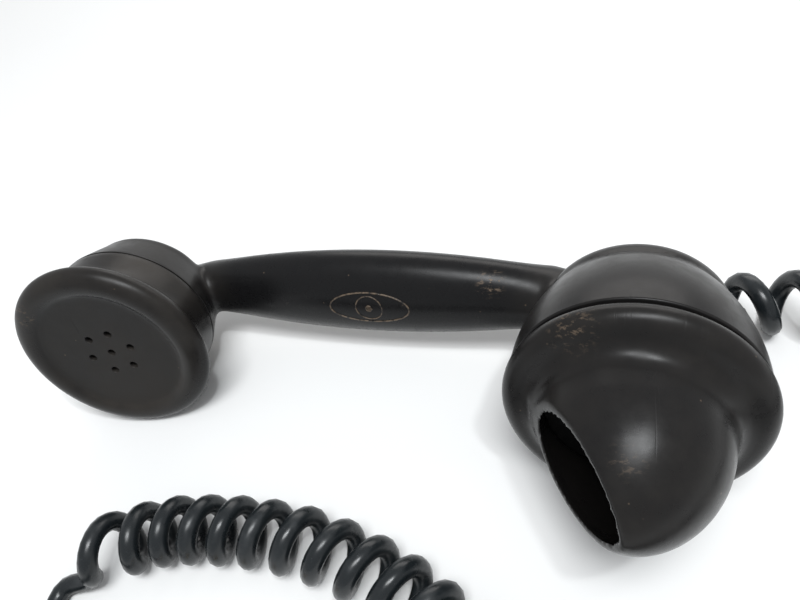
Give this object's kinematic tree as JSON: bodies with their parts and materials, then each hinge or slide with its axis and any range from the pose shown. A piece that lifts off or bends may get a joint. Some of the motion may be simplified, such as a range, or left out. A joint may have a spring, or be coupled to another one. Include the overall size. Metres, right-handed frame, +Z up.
{
  "type": "telephone handset with curly cord",
  "caption": "Black moulded telephone handset with a flat ear cap, a hooded mouthpiece cap and a long curly cord, lying on its side.",
  "frame": {"origin": "centre of the handset's bounding box, at the surface it lies on; the cord is left out of that box", "axes": "+X along the handle from the ear cap to the mouth cap, +Z up, the caps face -Y"},
  "size_m": [0.3137, 0.158, 0.0641],
  "materials": {
    "bakelite": "black phenolic moulding, polished where handled, dull brown patina elsewhere",
    "fibre": "brown vulcanised fibre",
    "iron": "soft iron, lacquered",
    "aluminium": "pressed aluminium",
    "black_lacquer": "black lacquered sheet metal",
    "magnet": "dark cobalt steel magnet",
    "copper": "enamelled copper winding",
    "carbon": "carbon",
    "oiled_silk": "oiled silk",
    "rubber": "black rubber",
    "cord_black": "glossy black cord jacket",
    "wire_red": "red wire insulation",
    "wire_blue": "blue wire insulation",
    "wire_white": "off-white wire insulation",
    "brass": "brass, slightly tarnished"
  },
  "bodies": {
    "handset": {"receiver_diaphragm": "iron", "receiver_case": "aluminium", "receiver_magnet": "magnet", "pole_piece_left": "iron", "coil_spool_left": "fibre", "coil_winding_left": "copper", "pole_piece_right": "iron", "coil_spool_right": "fibre", "coil_winding_right": "copper", "receiver_terminal_strip": "fibre", "receiver_screw_1": "brass", "receiver_screw_2": "brass", "cord_gland": "rubber", "cord_inner_end": "cord_black", "cord_ferrule": "brass", "moisture_membrane": "oiled_silk", "capsule_ring": "brass", "capsule_case": "brass", "capsule_diaphragm": "aluminium", "front_electrode": "carbon", "carbon_chamber": "brass", "carbon_granules": "carbon", "capsule_stud": "brass", "contact_base": "fibre", "contact_spring_centre": "brass", "contact_spring_side": "brass", "contact_screw_1": "brass", "contact_screw_2": "brass", "contact_screw_3": "brass", "handle_moulding": "bakelite", "cord_lead_red": "wire_red", "cord_lead_blue": "wire_blue", "cord_lead_white": "wire_white", "receiver_lead_red": "wire_red", "receiver_lead_white": "wire_white", "curly_cord": "cord_black", "cord_start": "cord_black", "cord_end": "cord_black", "cord_end_boot": "rubber", "far_lead_red": "wire_red", "spade_terminal_red": "brass", "far_lead_blue": "wire_blue", "spade_terminal_blue": "brass", "far_lead_white": "wire_white", "spade_terminal_white": "brass"},
    "ear_seal": {"ear_washer": "fibre"},
    "ear_cap": {"ear_cap": "bakelite"},
    "grille": {"mouth_grille": "black_lacquer"},
    "mouth_cap": {"mouth_cap": "bakelite"}
  },
  "joints": [
    {"name": "ear_cap_travel", "type": "slide", "parent": "handset", "child": "ear_seal", "axis": [0.155, -0.9518, 0.2648], "range_m": [0, 0.00801]},
    {"name": "ear_cap_turn", "type": "hinge", "parent": "ear_seal", "child": "ear_cap", "pos_m": [-0.08012, -0.00485, 0.03181], "axis": [0.155, -0.9518, 0.2648], "range_deg": [0, 1440]},
    {"name": "mouth_cap_travel", "type": "slide", "parent": "handset", "child": "grille", "axis": [-0.0537, -0.9623, 0.2666], "range_m": [0, 0.00601]},
    {"name": "mouth_cap_turn", "type": "hinge", "parent": "grille", "child": "mouth_cap", "pos_m": [0.07938, -0.00485, 0.03265], "axis": [-0.0537, -0.9623, 0.2666], "range_deg": [0, 1080]}
  ],
  "couplings": [
    {"joint": "ear_cap_travel", "follows": "ear_cap_turn", "m_per_rad": 0.00031831},
    {"joint": "mouth_cap_travel", "follows": "mouth_cap_turn", "m_per_rad": 0.00031831}
  ]
}
